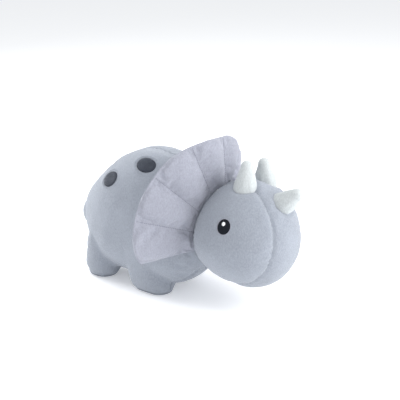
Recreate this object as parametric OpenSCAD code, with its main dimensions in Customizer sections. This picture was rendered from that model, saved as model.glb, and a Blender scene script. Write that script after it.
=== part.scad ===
// Stuffed horned dinosaur with a quilted neck frill.
// +X is forward (nose), +Y is the toy's left, +Z is up.
// The origin is on the floor, under the middle of the toy's box.

/* [Overall] */
// Length from the tail tip to the nose horn tip
length = 536; // [532:1:540]
// Thickness of the plush cloth
cloth = 2; // [1.6:0.2:2.4]
// Gap kept between neighbouring pieces
gap = 0.4; // [0.3:0.05:0.5]

/* [Torso] */
// Scale of the torso's half width
torso_width_scale = 1; // [0.98:0.01:1.02]
// Half width of the belly panel
belly_half_width = 50; // [46:1:52]

/* [Feet] */
// Distance from the middle of the toy to the middle of a foot
foot_y = 50; // [48:1:52]
// Half width of a foot sole
sole_half_width = 27; // [25:1:28]
// Length of the straight stretch of a front sole
front_sole_straight = 30; // [26:1:34]
// Position of the front feet
front_foot_x = -36; // [-40:1:-32]

/* [Head] */
// Radius of the head ball
head_r = 103; // [102:0.5:103.5]
// Height of the middle of the head
head_z = 152; // [151:0.5:154]
// Distance from the head's middle to each seam of the panel down the face
face_half_width = 35; // [32:1:37]
// How much that panel widens towards the chin, in degrees
face_chin_flare = 9; // [7:1:11]
// How much that panel widens towards the nose, in degrees
face_nose_flare = 11; // [9:1:13]
// Radius of an eye
eye_r = 13; // [11:0.5:14]

/* [Horns] */
// Radius of a horn at its root
horn_root_r = 22.5; // [20:0.5:23]
// Radius of a horn's round tip
horn_tip_r = 10; // [9:0.5:10.5]
// Sideways place of a brow horn's root
brow_horn_y = 28; // [27:1:32]
// How far all three horns sit towards the left, because the stuffed head twists a little
horn_shift = 5; // [0:1:5]

/* [Frill] */
// Sewn segments on each side
frill_segments = 4; // [4:1:4]
// Half thickness that the wadding adds in the middle of a segment
frill_puff = 4.5; // [3:0.5:5]
// How far the left half of the frill flops forwards and down, from stiff to as drawn
frill_flop = 1; // [0:0.1:1]

/* [Tail] */
// Radius of the tail's root ball
tail_root_r = 42; // [40:1:43]
// Radius of the tail's rounded end
tail_tip_r = 24; // [22:1:26]

/* [Motion] */
// Largest nod of the head, each way, in degrees
nod_limit = 10; // [6:1:10]
// Largest wag of the tail, each way, in degrees
wag_limit = 20; // [10:1:22]

/* [Hidden] */

fleece = [0.67, 0.70, 0.74];
fleece_lilac = [0.72, 0.73, 0.78];
spot_grey = [0.33, 0.35, 0.40];
horn_white = [0.90, 0.92, 0.92];
filling_white = [0.97, 0.97, 0.95];
eye_black = [0.06, 0.07, 0.09];

right = -1;
left = 1;
far = 400;

// Torso: sections from the rump to the neck, each [x, half width, bottom, top]
torso_sections = [
    [-238, 16, 122, 150],
    [-232, 36, 100, 170],
    [-218, 57, 76, 190],
    [-197, 74, 50, 213],
    [-170, 87, 26, 239],
    [-130, 96, 15, 269],
    [-80, 98, 13, 288],
    [-30, 96, 13, 288],
    [5, 91, 14, 276],
    [32, 80, 24, 256],
    [54, 66, 50, 226]
];
section_points = 32;
belly_height = 0.46;
top_roundness = 2.15;
belly_roundness = 2.8;
neck_plane = torso_sections[len(torso_sections) - 1][0];

// Legs: sections up from the floor, each [height, growth over the sole, outward shift],
// and how far the top leans towards the middle of the toy
sole_thick = 2.5;
leg_sections = [[0.6, 2.4, 0], [9, 6.5, 0], [37.3, 8.5, 2], [84, 8, 4], [128, 0, 0]];
leg_lean = 0.17;
leg_middle_x = -100;
// Hind feet are shorter than the front ones
hind_foot_x = -176;
hind_sole_straight = 9;

// Head, neck and tail centres
head_x = 157;
head_middle = [head_x, 0, head_z];
neck = [76, 0, 150];
neck_r = 58;
head_back_plane = 69;
tail_root = [-220, 0, 118];
tail_tip = [-length / 2 + tail_tip_r, 0, 104];
tail_droop = [-246, 0, 86];
tail_droop_r = 15;

// Eyes: direction from the middle of the head, and layers outside the cloth
eye_turn = 26.4;
eye_forward = 4;
eye_thick = 2;
ring_width = 1.5;
glint_r = 4;
glint_shift = [-1, 6];

// Horns: the middle of the root, inside the head, and the middle of the round tip
brow_horn_root = [167, brow_horn_y, 238];
brow_horn_tip = [165, 25.5, 294];
nose_horn_root = [220, 0, 219];
nose_horn_tip = [length / 2 - horn_tip_r, 0, 255];

// Spots: [x, y, z] on the flank, the half length, half height and turn of the oval
front_spot = [-46, 52, 264, 22, 15.5];
rear_spot = [-124, 66, 221, 20, 16];
spot_proud = 1.2;
spot_stitch_width = 1.6;

// Frill: middle height of its rim, how far its ring stands off the head,
// and the least half thickness at the stitching
frill_z = 150;
ring_clearance = 3.5;
ring_rise = 7;
seam_half = cloth + 0.3;
seg_steps = 4;
rim_steps = 6;
thread_r = 0.6;

// ---------- shared shapes ----------

function superellipse(half_w, low, high, n_top, n_low) =
    let (mid = low + belly_height * (high - low))
    [for (i = [0 : section_points - 1])
        let (
            a = 360 * i / section_points,
            c = cos(a),
            s = sin(a),
            n = s > 0 ? n_top : n_low,
            h = s > 0 ? high - mid : mid - low
        )
        [sign(c) * half_w * pow(abs(c), 2 / n), mid + sign(s) * h * pow(abs(s), 2 / n)]];

// The torso without its legs, pulled in by d: one skin through all the sections
module torso_loft(d) {
    last = len(torso_sections) - 1;
    n = section_points;
    rings = [for (i = [0 : last])
        let (sec = torso_sections[i])
        [for (p = superellipse(
            sec[1] * torso_width_scale - d, sec[2] + d, sec[3] - d,
            top_roundness, belly_roundness)) [sec[0] + (i == 0 ? d : 0), p[0], p[1]]]];
    sides = [for (i = [0 : last - 1], k = [0 : n - 1])
        let (a = i * n + k, b = i * n + (k + 1) % n)
        each [[a, b + n, b], [a, a + n, b + n]]];
    rear_end = [[for (k = [0 : n - 1]) k]];
    front_end = [[for (k = [n - 1 : -1 : 0]) last * n + k]];
    polyhedron([for (ring = rings) each ring], concat(rear_end, sides, front_end));
}

// Ring of points around an oval with straight sides, at height z
function stadium(middle, r, straight, z) =
    [for (i = [0 : 31])
        let (a = 360 * (i + 0.5) / 32)
        [middle[0] + sign(cos(a)) * straight / 2 + r * cos(a), middle[1] + r * sin(a), z]];

function sole_straight(x) = x < leg_middle_x ? hind_sole_straight : front_sole_straight;

// One leg, pulled in by d; its upper part runs on into the flank
module leg(x, side, d) {
    rings = [for (sec = leg_sections)
        stadium(
            [x + leg_lean * sec[0] * sign(leg_middle_x - x), side * (foot_y + sec[2])],
            sole_half_width + sec[1] - d, sole_straight(x), sec[0])];
    for (i = [0 : len(rings) - 2])
        hull()
            polyhedron(
                concat(rings[i], rings[i + 1]),
                [[for (k = [0 : 31]) k], [for (k = [0 : 31]) 32 + k]]);
}

// The torso's outer skin with its four legs, pulled in by d (pushed out where d is negative)
module torso_body(d) {
    torso_loft(d);
    for (side = [right, left]) {
        leg(front_foot_x, side, d);
        leg(hind_foot_x, side, d);
    }
}

// The tail grown by d
module tail_body(d) {
    hull() {
        translate(tail_root)
            sphere(tail_root_r + d, $fn = 26);
        translate(tail_tip)
            sphere(tail_tip_r + d, $fn = 26);
    }
    hull() {
        translate(tail_tip)
            sphere(tail_tip_r + d, $fn = 26);
        translate(tail_droop)
            sphere(tail_droop_r + d, $fn = 26);
    }
}

// Room for the tail over its whole wag, and for the neck ball
module torso_hollows() {
    room = gap + 1.6;
    hull() {
        translate(tail_root)
            sphere(tail_root_r + room, $fn = 24);
        for (turn = [-wag_limit, wag_limit])
            translate(tail_root)
                rotate([0, 0, turn])
                    translate(tail_tip - tail_root)
                        sphere(tail_tip_r + room, $fn = 16);
    }
    translate(neck)
        sphere(neck_r + 1.2, $fn = 32);
}

// Block under the belly and between the legs, where the belly panel is
module belly_zone(d) {
    translate([0, 0, -10])
        linear_extrude(100)
            offset(delta = d)
                polygon([
                    [-232, 0], [-190, -belly_half_width], [20, -belly_half_width],
                    [60, -30], [60, 30], [20, belly_half_width], [-190, belly_half_width]
                ]);
}

module half_space(side, d) {
    translate([-far, side > 0 ? d : -far - d, -far])
        cube([2 * far, far, 2 * far]);
}

// ---------- torso ----------

module torso_panel(side) {
    color(fleece)
        difference() {
            intersection() {
                torso_body(0);
                half_space(side, gap / 2);
            }
            torso_body(cloth);
            belly_zone(gap);
            torso_hollows();
        }
}

module belly_panel() {
    color(fleece)
        difference() {
            intersection() {
                torso_body(0);
                belly_zone(0);
            }
            torso_body(cloth);
            torso_hollows();
            translate([-far, -far, -1])
                cube([2 * far, 2 * far, 1 + leg_sections[0][0]]);
        }
}

module torso_stuffing() {
    color(filling_white)
        difference() {
            torso_body(cloth + gap);
            torso_hollows();
            translate([neck_plane - 1, -far, -far])
                cube([far, 2 * far, 2 * far]);
            translate([-far, -far, -1])
                cube([2 * far, 2 * far, 1 + sole_thick + gap]);
        }
}

module sole(x, side) {
    color(fleece)
        translate([x, side * foot_y, 0])
            linear_extrude(sole_thick)
                union() {
                    for (end = [-1, 1])
                        translate([end * sole_straight(x) / 2, 0])
                            circle(sole_half_width, $fn = 64);
                    square([sole_straight(x), 2 * sole_half_width], center = true);
                }
}

// Oval prism that points out of the flank at a spot
module spot_prism(spot, side, grow) {
    lean = atan2(spot[1], spot[2] - 140);
    translate([spot[0], side * spot[1], spot[2]])
        rotate([-side * lean, 0, 0])
            translate([0, 0, -25])
                linear_extrude(45)
                    scale([(spot[3] + grow) / 10, (spot[4] + grow) / 10])
                        circle(10, $fn = 40);
}

module spot_patch(spot, side) {
    color(spot_grey)
        difference() {
            intersection() {
                torso_body(-gap - spot_proud);
                spot_prism(spot, side, 0);
            }
            torso_body(-gap);
        }
}

module spot_stitching(side) {
    color(fleece)
        for (spot = [front_spot, rear_spot])
            difference() {
                intersection() {
                    torso_body(-gap - spot_proud);
                    spot_prism(spot, side, gap + spot_stitch_width);
                }
                torso_body(-gap);
                spot_prism(spot, side, gap);
            }
}

// ---------- tail ----------

// Hulls of slivers keep the tail's pieces in one smooth mesh
module tail_cover(side) {
    color(fleece)
        difference() {
            intersection() {
                tail_body(0);
                half_space(side, gap / 2);
            }
            for (layer = [0 : 3])
                tail_body(-cloth);
            translate([tail_root[0] + 12, -far, -far])
                cube([far, 2 * far, 2 * far]);
        }
}

module tail_stuffing() {
    color(filling_white)
        for (layer = [0 : 3])
            tail_body(-cloth - gap);
}

// ---------- head ----------

module head_ball(d) {
    translate(head_middle)
        sphere(head_r + d, $fn = 72);
}

module behind(x) {
    translate([x - far, -far, -far])
        cube([far, 2 * far, 2 * far]);
}

// Everything beyond the seam between the face panel and a cheek
module beyond_seam(side, d) {
    translate(head_middle)
        rotate([side * face_chin_flare, 0, side * face_nose_flare])
            half_space(side, face_half_width + d);
}

module cheek_panel(side) {
    color(fleece)
        intersection() {
            difference() {
                head_ball(0);
                head_ball(-cloth);
                behind(head_back_plane);
            }
            beyond_seam(side, gap / 2);
        }
}

// The balls' poles point sideways, clear of this panel
module face_panel() {
    color(fleece)
        difference() {
            translate(head_middle)
                rotate([90, 0, 0])
                    rotate([0, 0, 180])
                        difference() {
                            sphere(head_r, $fn = 72);
                            sphere(head_r - cloth, $fn = 72);
                        }
            behind(head_back_plane);
            beyond_seam(right, -gap / 2);
            beyond_seam(left, -gap / 2);
        }
}

// Outline of a ball's edge between two distances along its axis, as [distance from axis, along]
function ball_arc(r, from, to, steps = 24) =
    let (a = asin(from / r), b = asin(to / r))
    [for (i = [0 : steps]) let (c = a + (b - a) * i / steps) [r * cos(c), r * sin(c)]];

// Ball with a flat back, turned about the head's front to back axis
module head_stuffing() {
    r = head_r - cloth - gap;
    back = head_back_plane + gap - head_x;
    color(filling_white)
        translate(head_middle)
            rotate([0, 90, 0])
                rotate_extrude($fn = 96)
                    polygon(concat([[0, back]], ball_arc(r, back, r - 0.001), [[0, r]]));
}

module neck_stuffing() {
    color(filling_white)
        difference() {
            translate(neck)
                sphere(neck_r, $fn = 72);
            translate([head_back_plane - gap, -far, -far])
                cube([far, 2 * far, 2 * far]);
        }
}

// Round plug that points out of the head through an eye, moved by shift in its own plane
module eye_plug(side, r, shift = [0, 0]) {
    translate(head_middle)
        rotate([0, 0, side * (90 - eye_forward)])
            rotate([0, -eye_turn, 0])
                translate([head_r - 12, -side * shift[0], shift[1]])
                    rotate([0, 90, 0])
                        cylinder(h = 24, r = r, $fn = 48);
}

module eye(side) {
    color(eye_black)
        difference() {
            intersection() {
                head_ball(gap + eye_thick);
                eye_plug(side, eye_r);
            }
            head_ball(gap);
        }
}

module eye_ring(side) {
    color(fleece_lilac)
        difference() {
            intersection() {
                head_ball(gap + eye_thick / 2);
                eye_plug(side, eye_r + gap + ring_width);
            }
            head_ball(gap);
            eye_plug(side, eye_r + gap);
        }
}

module eye_glint(side) {
    color("white")
        difference() {
            intersection() {
                head_ball(2 * gap + eye_thick + 0.8);
                eye_plug(side, glint_r, glint_shift);
            }
            head_ball(2 * gap + eye_thick);
        }
}

// ---------- horns ----------

// Cone from its root to the middle of its round tip, pulled in by d
module horn_solid(root, tip, d) {
    along = tip - root;
    height = norm(along);
    aim = [0, acos(along[2] / height), atan2(along[1], along[0])];
    tip_r = horn_tip_r - d;
    root_r = horn_root_r - d;
    slope = asin((root_r - tip_r) / height);
    translate(root)
        rotate(aim)
            rotate_extrude($fn = 48)
                polygon(concat(
                    [[0, 0], [root_r, 0]],
                    [for (a = [slope : (90 - slope) / 5 : 90])
                        [a > 89.9 ? 0 : tip_r * cos(a), height + tip_r * sin(a)]]));
}

module horn_cover(root, tip) {
    color(horn_white)
        difference() {
            horn_solid(root, tip, 0);
            horn_solid(root - 0.01 * (tip - root), tip, cloth);
            head_ball(gap);
        }
}

module horn_filling(root, tip) {
    color(filling_white)
        difference() {
            horn_solid(root, tip, cloth + gap);
            head_ball(gap);
        }
}

module brow_horn(side) {
    horn_cover(mirror_y(brow_horn_root, side), mirror_y(brow_horn_tip, side));
}

module brow_horn_filling(side) {
    horn_filling(mirror_y(brow_horn_root, side), mirror_y(brow_horn_tip, side));
}

function mirror_y(p, side) = [p[0], side * p[1] + horn_shift, p[2]];

// ---------- frill ----------

// t counts segments from the top of the frill, positive on the toy's left;
// s runs from the ring at the head, 0, to the outer rim, 1
function ring_point(t) =
    let (
        u = abs(t),
        a = 21 * u + 2.25 * u * u + 5 * pow(max(0, u - 3), 2),
        x = 106 - 28 * sin(22.3 * u),
        r = sqrt(head_r * head_r - pow(x - head_x, 2)) + ring_clearance
            + ring_rise * exp(-pow(u / 1.2, 2))
    )
    [x, sign(t) * r * sin(a), head_z + r * cos(a)];

function rim_point(t) =
    let (
        u = abs(t),
        a = 23.05 * u - 0.975 * u * u + 0.475 * u * u * u,
        fuller = t < 0 ? 10 * exp(-pow((u - 1.6) / 0.8, 2)) : 0,
        r = 187 - 37 * pow(u / 4, 3) + 5 * sin(90 * min(u, 2)) + fuller
    )
    [11 + 87 * exp(-pow(u / 1.9, 2.2)), sign(t) * r * sin(a), frill_z + r * cos(a)]
        + (t > 0 ? frill_flop * flop_share(u) * [12, -6, -24] : [0, 0, 0]);

// How much of the flop there is, from none at the top to most beside it
function flop_share(u) = pow(sin(90 * min(1, u / 1.2)), 2) * (1 - 0.7 * max(0, u - 1.2) / 2.8);

function frill_point(t, s) = ring_point(t) * (1 - s) + rim_point(t) * s;

function unit(v) = v / norm(v);

// Direction out of the frill's front face
function frill_normal(t, s) =
    let (
        e = 0.02,
        a = max(-frill_segments, t - e),
        b = min(frill_segments, t + e)
    )
    unit(cross(frill_point(b, s) - frill_point(a, s), rim_point(t) - ring_point(t)));

// Half thickness, pinched to the seams between segments, at the ring and at the rim
function frill_half(t, s) =
    seam_half + frill_puff * pow(abs(sin(180 * t)), 0.7) * pow(max(0, sin(180 * s)), 0.5);

function frill_offset(t, s, h) = frill_point(t, s) + h * frill_normal(t, s);

// Closed solid between two grids of points with the same rows and columns
module grid_solid(outer, inner) {
    rows = len(outer);
    cols = len(outer[0]);
    count = rows * cols;
    edge = concat(
        [for (j = [0 : cols - 1]) j],
        [for (i = [1 : rows - 1]) i * cols + cols - 1],
        [for (j = [cols - 2 : -1 : 0]) (rows - 1) * cols + j],
        [for (i = [rows - 2 : -1 : 1]) i * cols]);
    points = concat([for (row = outer) each row], [for (row = inner) each row]);
    faces = concat(
        [for (i = [0 : rows - 2], j = [0 : cols - 2])
            let (a = i * cols + j, b = a + 1, c = a + cols + 1, d = a + cols)
            each [[a, c, b], [a, d, c], [count + a, count + b, count + c],
                [count + a, count + c, count + d]]],
        [for (k = [0 : len(edge) - 1])
            let (a = edge[k], b = edge[(k + 1) % len(edge)])
            each [[b, count + a, a], [b, count + b, count + a]]]);
    polyhedron(points, faces);
}

module frill_layer(t_values, s_values, h_outer, h_inner, face) {
    grid_solid(
        [for (t = t_values) [for (s = s_values)
            frill_offset(t, s, face * (frill_half(t, s) - h_outer))]],
        [for (t = t_values) [for (s = s_values)
            frill_offset(t, s, face * (frill_half(t, s) - h_inner))]]);
}

frill_t = [for (i = [0 : 2 * frill_segments * seg_steps]) -frill_segments + i / seg_steps];
frill_s = [for (i = [0 : rim_steps]) i / rim_steps];

module frill_front() {
    color(fleece_lilac)
        frill_layer(frill_t, frill_s, cloth, 0, 1);
}

module frill_back() {
    color(fleece_lilac)
        frill_layer(frill_t, frill_s, 0, cloth, -1);
}

// One wedge of wadding in each segment
module frill_wadding() {
    inset = cloth + gap;
    color(filling_white)
        for (seg = [-frill_segments : frill_segments - 1]) {
            t_values = [for (i = [1 : seg_steps - 1]) seg + i / seg_steps];
            s_values = [for (i = [1 : rim_steps - 1]) i / rim_steps];
            grid_solid(
                [for (t = t_values) [for (s = s_values)
                    frill_offset(t, s, -frill_half(t, s) + inset)]],
                [for (t = t_values) [for (s = s_values)
                    frill_offset(t, s, frill_half(t, s) - inset)]]);
        }
}

// Line of stitching along one seam between segments, lying in its groove
module stitch_line(t, face) {
    sides = 6;
    s_values = [for (i = [0 : rim_steps]) 0.04 + 0.92 * i / rim_steps];
    rows = len(s_values);
    points = [for (s = s_values, k = [0 : sides - 1])
        let (
            n = frill_normal(t, s),
            b = cross(n, unit(rim_point(t) - ring_point(t))),
            a = 360 * k / sides
        )
        frill_point(t, s) + face * (seam_half + 0.25 + thread_r) * n
            + thread_r * (cos(a) * b + sin(a) * n)];
    faces = concat(
        [[for (k = [0 : sides - 1]) k]],
        [for (i = [0 : rows - 2], k = [0 : sides - 1])
            let (a = i * sides + k, b = i * sides + (k + 1) % sides)
            each [[a, b + sides, b], [a, a + sides, b + sides]]],
        [[for (k = [sides - 1 : -1 : 0]) (rows - 1) * sides + k]]);
    polyhedron(points, faces);
}

module frill_quilting() {
    color(fleece)
        for (t = [1 - frill_segments : frill_segments - 1], face = [-1, 1])
            stitch_line(t, face);
}

// ---------- nodes ----------

torso_panel(right);  // torso_panel_right
torso_panel(left);  // torso_panel_left
belly_panel();
torso_stuffing();
sole(front_foot_x, right);  // sole_front_right
sole(front_foot_x, left);  // sole_front_left
sole(hind_foot_x, right);  // sole_hind_right
sole(hind_foot_x, left);  // sole_hind_left
spot_patch(front_spot, right);  // spot_front_right
spot_patch(front_spot, left);  // spot_front_left
spot_patch(rear_spot, right);  // spot_rear_right
spot_patch(rear_spot, left);  // spot_rear_left
spot_stitching(right);  // spot_stitching_right
spot_stitching(left);  // spot_stitching_left
tail_cover(right);  // tail_cover_right
tail_cover(left);  // tail_cover_left
tail_stuffing();
neck_stuffing();
head_stuffing();
cheek_panel(right);  // cheek_panel_right
cheek_panel(left);  // cheek_panel_left
face_panel();
eye(right);  // eye_right
eye(left);  // eye_left
eye_ring(right);  // eye_ring_right
eye_ring(left);  // eye_ring_left
eye_glint(right);  // eye_glint_right
eye_glint(left);  // eye_glint_left
brow_horn(right);  // brow_horn_right
brow_horn(left);  // brow_horn_left
horn_cover(mirror_y(nose_horn_root, 1), mirror_y(nose_horn_tip, 1));  // nose_horn
brow_horn_filling(right);  // brow_horn_filling_right
brow_horn_filling(left);  // brow_horn_filling_left
horn_filling(mirror_y(nose_horn_root, 1), mirror_y(nose_horn_tip, 1));  // nose_horn_filling
frill_front();
frill_back();
frill_wadding();
frill_quilting();
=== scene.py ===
"""Stuffed horned dinosaur: cloth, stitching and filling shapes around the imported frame.

All shaping is in millimetres, in the frame's axes: +X forward, +Y the toy's left, +Z up.
Meshes are stored in metres.
"""
import math

import bmesh
import bpy
import numpy as np
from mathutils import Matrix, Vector, noise
from mathutils.bvhtree import BVHTree

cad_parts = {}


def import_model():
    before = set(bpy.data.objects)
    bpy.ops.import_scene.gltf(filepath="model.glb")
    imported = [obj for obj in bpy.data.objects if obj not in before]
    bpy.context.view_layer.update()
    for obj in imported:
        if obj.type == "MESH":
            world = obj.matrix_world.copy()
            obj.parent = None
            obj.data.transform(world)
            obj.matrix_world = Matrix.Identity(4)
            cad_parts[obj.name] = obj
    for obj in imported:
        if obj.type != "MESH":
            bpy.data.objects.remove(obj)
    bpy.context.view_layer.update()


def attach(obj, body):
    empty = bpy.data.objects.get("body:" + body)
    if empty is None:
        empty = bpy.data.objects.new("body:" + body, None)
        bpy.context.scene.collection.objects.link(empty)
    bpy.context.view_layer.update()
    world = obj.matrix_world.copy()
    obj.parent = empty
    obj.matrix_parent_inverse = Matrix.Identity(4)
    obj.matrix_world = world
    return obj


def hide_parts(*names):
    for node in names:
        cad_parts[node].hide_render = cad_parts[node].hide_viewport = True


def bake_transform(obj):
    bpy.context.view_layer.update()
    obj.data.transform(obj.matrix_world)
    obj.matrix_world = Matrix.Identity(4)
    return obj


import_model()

MM = 0.001
SIDES = {"right": -1, "left": 1}
# Thickness of the covers' cloth
CLOTH = 1.6

# Camera: the point it looks at, and where it stands round the toy
LOOK_AT = (46, 0, 198)
CAMERA_AZIMUTH = 35
CAMERA_ELEVATION = 20
CAMERA_DISTANCE = 1490
CAMERA_FOV = 30

# Torso: sections from the rump to the neck, each [x, half width, bottom, top]
TORSO_SECTIONS = [
    [-238, 12, 122, 150],
    [-232, 28, 101, 169],
    [-218, 48, 77, 188],
    [-197, 66, 52, 211],
    [-170, 82, 28, 237],
    [-130, 94, 17, 267],
    [-80, 96, 15, 286],
    [-30, 94, 15, 286],
    [5, 89, 16, 274],
    [32, 79, 26, 254],
    [54, 66, 48, 227],
    [68, 58, 66, 210],
    [80, 50, 82, 196],
]
BELLY_HEIGHT = 0.46
TOP_ROUNDNESS = 2.15
BELLY_ROUNDNESS = 2.8

# Legs: sections up from the sole, each [height, growth over the sole, outward shift]
LEG_SECTIONS = [[2.6, 0.5, 0], [6, 3.0, 0], [12, 5.5, 0], [36, 8.5, 2], [84, 6, 4], [128, -2, 0]]
LEG_LEAN = 0.17
LEG_MIDDLE_X = -100
FOOT_X = {"front": -36, "hind": -176}
FOOT_Y = 50
SOLE_HALF_WIDTH = 27
SOLE_STRAIGHT = {"front": 30, "hind": 9}

# Belly panel in plan: how far forward, and its half width there
BELLY_X = [-232, -190, 20, 60]
BELLY_HALF_WIDTH = [0, 50, 50, 30]
BELLY_PLAN = [(x, -half) for x, half in zip(BELLY_X, BELLY_HALF_WIDTH)]
BELLY_PLAN += [(x, -y) for x, y in reversed(BELLY_PLAN)]
BELLY_TOP = 108

# Head, neck and tail
HEAD = np.array([157.0, 0.0, 152.0])
HEAD_R = 103
HEAD_BACK = 72
# Where the stuffed head is fuller or flatter than a ball: [direction, height, sharpness]
HEAD_SWELLS = [
    [(-0.25, 0.12, 1), 3, 6],
    [(0.42, 0.1, 1), 6, 6],
    [(-0.55, 0.82, -0.1), 4, 8],
    [(0.78, 0, -0.62), 5, 7],
    [(-0.15, 0.6, -0.78), -4, 6],
]
# Seams of the panel down the face lie in two planes. The right one: its distance from the
# head's middle, and its direction from there
FACE_SEAM = 35
FACE_SEAM_WAY = np.array([-0.1885, -0.9696, 0.1564])
TAIL_ROOT = np.array([-220.0, 0.0, 118.0])
TAIL_ROOT_R = 40.5
TAIL_TIP = np.array([-243.0, 0.0, 104.0])
TAIL_TIP_R = 22.5
TAIL_DROOP = np.array([-245.5, 0.0, 86.5])
TAIL_DROOP_R = 14
# The tail's cover ends here, inside the torso
TAIL_FRONT = -206
# How far the torso's cloth is drawn in round the tail, and how low it comes at the soles
TAIL_FOLD = 5.0
COVER_LOWEST = 2.7
# Dents of the stuffed cloth: [height, size, seed]
DENTS = {
    "torso": [(1.8, 75, 2), (0.7, 28, 3)],
    "tail": [(0.8, 35, 5)],
    "head": [(1.4, 60, 7), (0.5, 24, 8)],
}

# Horns: root middle, tip middle, root radius, tip radius, and how far the middle bows out
HORNS = {
    "brow_horn_right": [(163, -22, 238), (166, -20.5, 294), 23, 12, (1, -1, 0)],
    "brow_horn_left": [(174, 34, 238), (173, 31, 288), 23, 12, (1, 2, 0)],
    "nose_horn": [(223, 6, 225), (257, 6, 250), 22, 12, (1, 0, -3)],
}

# How much a horn swells halfway up, and the height of the gathers over its root
HORN_SWELL = 2.6
HORN_GATHER = 22

# Spots on the flank: [x, y, z] of the middle, half length, half height
SPOTS = {"front": [(-46, 52, 264), 22, 15.5], "rear": [(-124, 66, 221), 20, 16]}
SPOT_DOME = 1.3
# Cord and stitches round a spot: how far outside it they are
SPOT_CORD = 1.2
SPOT_STITCHES = 4.2

# Eyes: angles up from the side of the head and forward from it, and size
EYE_TURN = 26.4
EYE_FORWARD = 4
EYE_HALF_WIDTH = 12.6
EYE_HALF_HEIGHT = 14.2
EYE_DOME = 1.8
EYE_CORD = 0.9
# Glint: how far up the eye and forward it is, and half its width and height
GLINT_UP = 5.0
GLINT_FORWARD = -1.0
GLINT_HALF = (3.4, 3.9)

FRILL_SEGMENTS = 4
# Frill's ring round the head: degrees to a segment at the top, and more for each one after it
RING_PITCH = 21
RING_SPREAD = 2.25
RING_END_SPREAD = 5
# How far forward the ring is at the top, how far it falls back, and degrees to a segment in that
RING_TOP_X = 106
RING_FALL = 30
RING_FALL_PITCH = 22.3
# How deep the ring is sunk in the head's surface
RING_SINK = 3.5
# Frill's rim, u segments from the top: its angle in degrees is a sum of powers of u
RIM_TURN = (23.05, -0.975, 0.475)
RIM_Z = 150
# Rim's radius at the top, how much shorter it is at its ends, how much fuller beside the top
RIM_R = 187
RIM_SHORTER = 37
RIM_SHOULDER = 5
# Where the rim of the right half is fuller: [u, how much]
RIM_FULLER = [(1.6, 10), (3.6, 9)]
# How far forward the rim is at its ends, and how much more at the top
RIM_X = 11
RIM_TOP_FORWARD = 87
# How the rim of the left half flops forwards and down, and where it does so the most
FRILL_FLOP = (12, -6, -24)
FLOP_AT = 1.2
# Rounding of the frill's two lower corners: share cut off, and over how much of a segment
CORNER_CUT = 0.02
CORNER_SPAN = 0.12
# Half thickness of the frill at a seam and at the rolled rim, and what a full pocket adds
FRILL_SEAM_HALF = 0.9
FRILL_RIM_HALF = 2.2
FRILL_POCKET = 5.2

# Where cloth is held in the simulation: fully up to the first distance, free after the second
SEAM_HOLD = (1.5, 4)
FLOOR_HOLD = (4, 9)
RING_HOLD = (2, 5)
# Where along x the torso's neck and the tail's root are held: free at the first, held at the second
NECK_HOLD = (60, 66)
TAIL_HOLD = (-225, -215)
# Simulated cloth: pressure, how much longer the cloth is than its shape, furthest move
CLOTH_JOBS = {
    "torso": (4.0, 0.03, 5.0),
    "tail": (3.0, 0.02, 3.0),
    "head": (4.0, 0.03, 4.0),
    "frill": (7.0, 0.08, 8.0),
}

# Lights: place in metres, power, size
LIGHTS = {
    "key_light": [(2.4, 0.5, 1.4), 54, 1.6],
    "top_light": [(-0.4, 0.2, 2.6), 30, 2.2],
    "rim_light": [(-2.3, -0.2, 1.1), 40, 1.4],
    "front_light": [(2.0, 1.9, 0.7), 12, 1.2],
}
LIGHTS_AIM = (0.02, 0, 0.12)
SKY_STRENGTH = 0.68

# Half size of the floor in metres, and its own faint glow, which lightens shadows
FLOOR_HALF = 40
FLOOR_GLOW = 0.24


# ---------- mesh helpers ----------

def add_object(name, data):
    obj = bpy.data.objects.new(name, data)
    bpy.context.scene.collection.objects.link(obj)
    return obj


def object_from(name, work):
    """Object made from a bmesh, which is freed."""
    mesh = bpy.data.meshes.new(name)
    work.to_mesh(mesh)
    work.free()
    return add_object(name, mesh)


def make_mesh(name, points, faces):
    mesh = bpy.data.meshes.new(name)
    mesh.from_pydata([tuple(p) for p in np.asarray(points, float) * MM], [], faces)
    mesh.update()
    return add_object(name, mesh)


def closed_mesh(name, points, faces):
    """Closed skin whose faces all look outwards, whichever way they were given."""
    obj = make_mesh(name, points, faces)
    work = bmesh.new()
    work.from_mesh(obj.data)
    bmesh.ops.recalc_face_normals(work, faces=work.faces)
    work.to_mesh(obj.data)
    work.free()
    obj.data.update()
    return obj


def read_values(items, field, width, kind=float):
    flat = np.empty(len(items) * width, dtype=kind)
    items.foreach_get(field, flat)
    return flat.reshape(-1, width)


def points_of(obj):
    return read_values(obj.data.vertices, "co", 3) / MM


def normals_of(obj):
    return read_values(obj.data.vertices, "normal", 3)


def edges_of(obj):
    return read_values(obj.data.edges, "vertices", 2, np.int32)


def move_points(obj, points):
    obj.data.vertices.foreach_set("co", (np.asarray(points) * MM).ravel())
    obj.data.update()


def bake_modifiers(obj):
    """The mesh with its modifiers, in place of the mesh and its modifiers."""
    bpy.context.view_layer.update()
    evaluated = obj.evaluated_get(bpy.context.evaluated_depsgraph_get())
    mesh = bpy.data.meshes.new_from_object(evaluated)
    obj.modifiers.clear()
    old = obj.data
    obj.data = mesh
    bpy.data.meshes.remove(old)
    mesh.name = obj.name


def join(name, parts):
    """One object from several, keeping their meshes apart inside it."""
    work = bmesh.new()
    for part in parts:
        work.from_mesh(part.data)
        bpy.data.objects.remove(part)
    return object_from(name, work)


def remesh(obj, voxel):
    modifier = obj.modifiers.new("remesh", "REMESH")
    modifier.mode = "VOXEL"
    modifier.voxel_size = voxel * MM
    bake_modifiers(obj)


def subdivide(obj, levels=1):
    modifier = obj.modifiers.new("subdivide", "SUBSURF")
    modifier.levels = levels
    modifier.render_levels = levels
    bake_modifiers(obj)


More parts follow.
